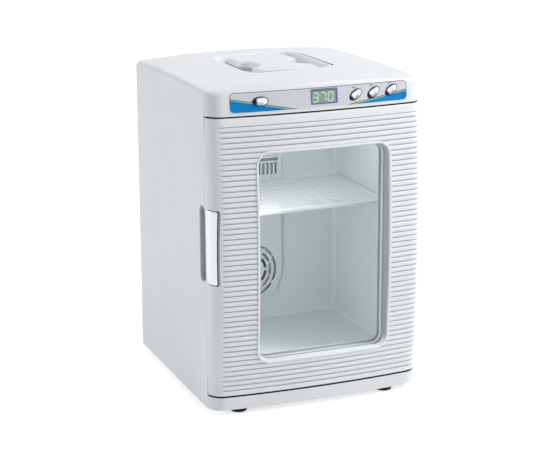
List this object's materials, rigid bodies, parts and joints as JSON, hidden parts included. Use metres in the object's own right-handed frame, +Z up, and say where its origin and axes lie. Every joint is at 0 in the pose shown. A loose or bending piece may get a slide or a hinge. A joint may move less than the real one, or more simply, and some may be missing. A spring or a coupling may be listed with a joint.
{
  "type": "benchtop incubator cabinet",
  "caption": "Small benchtop incubator: bowed ribbed door with a glass window, control panel above, carrying grip in the roof, slotted shelf and circulation fan inside.",
  "frame": {"origin": "middle of the bounding box on the plane the feet stand on", "axes": "+Z up, the front with the door faces -Y, +X to the right seen from the front"},
  "size_m": [0.32, 0.3454, 0.468],
  "materials": {
    "casing_plastic": "satin, cool light grey",
    "door_plastic": "satin, cool light grey",
    "liner_plastic": "satin, cool white",
    "shelf_plastic": "satin, white",
    "foam": "rigid foam, hidden",
    "black_plastic": "moulded, black",
    "rocker_plastic": "glossy black",
    "aluminium": "extruded",
    "ceramic_white": "fired ceramic",
    "steel": "zinc plated",
    "brass": "nickel flashed contact",
    "nylon": "natural nylon",
    "label": "printed film, silver grey",
    "lens": "clear acrylic",
    "display": "segment display",
    "board": "coated circuit board",
    "button_chrome": "plated dome",
    "pane": "clear acrylic",
    "gasket": "soft grey seal",
    "grip_silver": "glossy silver",
    "foot_rubber": "moulded rubber"
  },
  "bodies": {
    "cabinet": {"outer_casing": "casing_plastic", "rear_cover": "casing_plastic", "carry_bowl": "casing_plastic", "carry_grip": "casing_plastic", "inner_liner": "liner_plastic", "fan_cover": "liner_plastic", "insulation": "foam", "chamber_fan_frame": "black_plastic", "rear_fan_frame": "black_plastic", "power_inlet": "black_plastic", "switch_frame": "black_plastic", "tact_switches": "black_plastic", "cold_sink": "aluminium", "hot_sink": "aluminium", "heat_pump": "ceramic_white", "power_supply": "steel", "temperature_probe": "steel", "chamber_fan_screws": "steel", "rear_cover_screws": "steel", "hinge_screws": "steel", "lower_hinge": "steel", "upper_hinge": "steel", "inlet_pins": "brass", "hinge_washer": "nylon", "panel_label": "label", "display_lens": "lens", "display_module": "display", "control_board": "board", "foot_front_left": "foot_rubber", "foot_front_right": "foot_rubber", "foot_rear_left": "foot_rubber", "foot_rear_right": "foot_rubber"},
    "door": {"door_shell": "door_plastic", "door_foam": "foam", "door_liner": "liner_plastic", "window_bezel": "door_plastic", "outer_pane": "pane", "pane_spacer": "liner_plastic", "inner_pane": "pane", "door_gasket": "gasket", "door_grip": "grip_silver", "hinge_bushes": "nylon"},
    "shelf": {"shelf": "shelf_plastic"},
    "chamber_rotor": {"chamber_fan_rotor": "black_plastic"},
    "rear_rotor": {"rear_fan_rotor": "black_plastic"},
    "power_button": {"power_button": "button_chrome"},
    "set_button": {"set_button": "button_chrome"},
    "up_button": {"up_button": "button_chrome"},
    "down_button": {"down_button": "button_chrome"},
    "rocker": {"rocker": "rocker_plastic"}
  },
  "joints": [
    {"name": "door_hinge", "type": "hinge", "parent": "cabinet", "child": "door", "pos_m": [0.15, -0.14535, 0.228], "axis": [0, 0, 1], "range_deg": [0, 105]},
    {"name": "shelf_slide", "type": "slide", "parent": "cabinet", "child": "shelf", "axis": [0, -1, 0], "range_m": [0, 0.012]},
    {"name": "chamber_fan_spin", "type": "hinge", "parent": "cabinet", "child": "chamber_rotor", "pos_m": [-0.0225, 0.07165, 0.142], "axis": [0, 1, 0], "continuous": true},
    {"name": "rear_fan_spin", "type": "hinge", "parent": "cabinet", "child": "rear_rotor", "pos_m": [-0.0225, 0.15165, 0.142], "axis": [0, 1, 0], "continuous": true},
    {"name": "power_button_press", "type": "slide", "parent": "cabinet", "child": "power_button", "axis": [0, 1, 0], "range_m": [0, 0.0012], "stiffness_N_per_m": 300, "springref_m": -0.002},
    {"name": "set_button_press", "type": "slide", "parent": "cabinet", "child": "set_button", "axis": [0, 1, 0], "range_m": [0, 0.0012], "stiffness_N_per_m": 300, "springref_m": -0.002},
    {"name": "up_button_press", "type": "slide", "parent": "cabinet", "child": "up_button", "axis": [0, 1, 0], "range_m": [0, 0.0012], "stiffness_N_per_m": 300, "springref_m": -0.002},
    {"name": "down_button_press", "type": "slide", "parent": "cabinet", "child": "down_button", "axis": [0, 1, 0], "range_m": [0, 0.0012], "stiffness_N_per_m": 300, "springref_m": -0.002},
    {"name": "rocker_tilt", "type": "hinge", "parent": "cabinet", "child": "rocker", "pos_m": [0.07, 0.16605, 0.06], "axis": [1, 0, 0], "range_deg": [-14, 0]}
  ]
}
